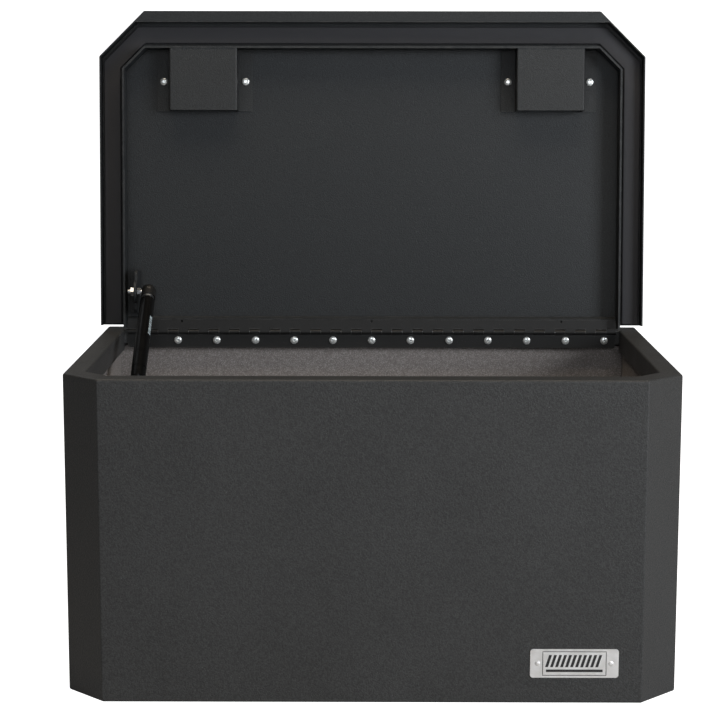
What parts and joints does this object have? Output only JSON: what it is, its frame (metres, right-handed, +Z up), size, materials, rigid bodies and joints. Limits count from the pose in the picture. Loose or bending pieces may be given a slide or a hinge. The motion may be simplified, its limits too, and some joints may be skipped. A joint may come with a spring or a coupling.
{
  "type": "truck tool box",
  "caption": "Low steel chest with angled front corners and a lid on a continuous rear hinge, held open by a gas strut, with hidden cam locks and a felt-lined inside.",
  "frame": {"origin": "centre of the chest's underside, in the plane it rests on", "axes": "+X to the right when facing the front, +Y towards the hinge at the rear, +Z up"},
  "size_m": [0.673, 0.4276, 0.747],
  "materials": {
    "chest_coat": "fine textured dark grey powder coat",
    "lid_coat": "fine textured charcoal powder coat",
    "hinge_coat": "satin black paint",
    "liner_felt": "short speckled felt",
    "floor_rubber": "ribbed black rubber",
    "seal_sponge": "closed-cell sponge",
    "zinc_steel": "bright zinc plate",
    "plate_aluminium": "brushed, printed in black",
    "strut_paint": "gloss black paint",
    "strut_plastic": "moulded black nylon",
    "rod_chrome": "hard chrome",
    "lock_chrome": "bright chrome"
  },
  "bodies": {
    "box": {"shell_wrap": "chest_coat", "rear_panel": "chest_coat", "floor_panel": "chest_coat", "floor_mat": "floor_rubber", "liner_rear": "liner_felt", "liner_right": "liner_felt", "liner_left": "liner_felt", "liner_front": "liner_felt", "liner_corners": "liner_felt", "nameplate": "plate_aluminium", "nameplate_rivets": "plate_aluminium", "hinge_lower_leaf": "hinge_coat", "hinge_pin": "zinc_steel", "hinge_screws": "zinc_steel", "hinge_nuts": "zinc_steel", "strut_lower_bracket": "lid_coat", "strut_bracket_studs": "zinc_steel", "strut_bracket_nuts": "zinc_steel", "lower_ball_stud": "zinc_steel", "lower_ball_nut": "zinc_steel"},
    "lid": {"lid_pan": "lid_coat", "lid_lip_frame": "lid_coat", "lid_seal": "seal_sponge", "hinge_backing_bar": "lid_coat", "hinge_upper_leaf": "hinge_coat", "cover_screws": "zinc_steel", "strut_upper_bracket": "lid_coat", "upper_ball_nut": "zinc_steel", "left_lock_cover": "lid_coat", "left_lock_housing": "lock_chrome", "left_lock_nut": "zinc_steel", "right_lock_cover": "lid_coat", "right_lock_housing": "lock_chrome", "right_lock_nut": "zinc_steel"},
    "left_lock": {"left_lock_plug": "lock_chrome", "left_lock_cam": "zinc_steel", "left_cam_screw": "zinc_steel"},
    "right_lock": {"right_lock_plug": "lock_chrome", "right_lock_cam": "zinc_steel", "right_cam_screw": "zinc_steel"},
    "strut_lower": {"strut_rod": "rod_chrome", "strut_piston": "strut_plastic", "strut_lower_socket": "strut_plastic", "lower_socket_clip": "zinc_steel"},
    "strut_upper": {"strut_tube": "strut_paint", "strut_rod_guide": "strut_plastic", "strut_rod_seal": "seal_sponge", "strut_upper_socket": "strut_plastic", "upper_socket_clip": "zinc_steel", "upper_ball_stud": "zinc_steel"}
  },
  "joints": [
    {"name": "lid_hinge", "type": "hinge", "parent": "box", "child": "lid", "pos_m": [0, 0.173, 0.352], "axis": [1, 0, 0], "range_deg": [0, 95.2]},
    {"name": "strut_swing", "type": "hinge", "parent": "box", "child": "strut_lower", "pos_m": [-0.2747, -0.082, 0.2464], "axis": [1, 0, 0], "range_deg": [-15.3, 0]},
    {"name": "strut_slide", "type": "slide", "parent": "strut_lower", "child": "strut_upper", "axis": [0, 0.8203, 0.572], "range_m": [-0.0605, 0]},
    {"name": "left_lock_turn", "type": "hinge", "parent": "lid", "child": "left_lock", "pos_m": [-0.2078, 0.20282, 0.67965], "axis": [0, -0.9959, 0.0906], "range_deg": [0, 90]},
    {"name": "right_lock_turn", "type": "hinge", "parent": "lid", "child": "right_lock", "pos_m": [0.2195, 0.20282, 0.67965], "axis": [0, 0.9959, -0.0906], "range_deg": [0, 90]}
  ],
  "couplings": [
    {"joint": "strut_swing", "follows": "lid_hinge", "ratio": -0.15857},
    {"joint": "strut_slide", "follows": "lid_hinge", "m_per_rad": -0.036271}
  ]
}
